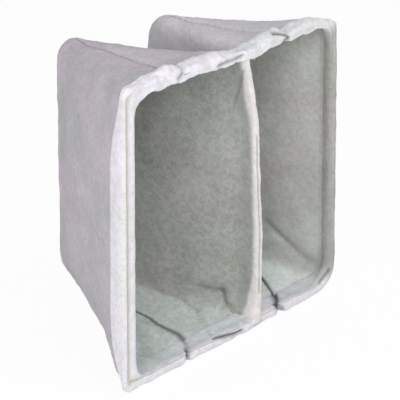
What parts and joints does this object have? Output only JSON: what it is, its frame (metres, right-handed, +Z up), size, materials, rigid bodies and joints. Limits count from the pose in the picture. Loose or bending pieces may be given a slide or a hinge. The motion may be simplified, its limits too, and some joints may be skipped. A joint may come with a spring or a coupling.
{
  "type": "bag air filter",
  "caption": "Self-supporting pocket air filter of thick bonded wadding, with a soft hemmed square mouth stiffened by a wire ring and wedge-shaped pockets behind it.",
  "frame": {"origin": "middle of the filter's own box", "axes": "+X to the right as seen from in front of the mouth, +Y from the mouth into the pockets, along the airflow, +Z up"},
  "size_m": [0.602, 0.3436, 0.607],
  "materials": {
    "media": "matt bonded polyester wadding, grey-white and faintly mottled",
    "hem": "matt soft wadding, near white, stitched",
    "wire": "galvanised drawn wire"
  },
  "bodies": {
    "root": {"left_pocket": "media", "right_pocket": "media", "mouth_hem": "hem", "divider_hem": "hem", "wire_frame": "wire"}
  },
  "joints": []
}
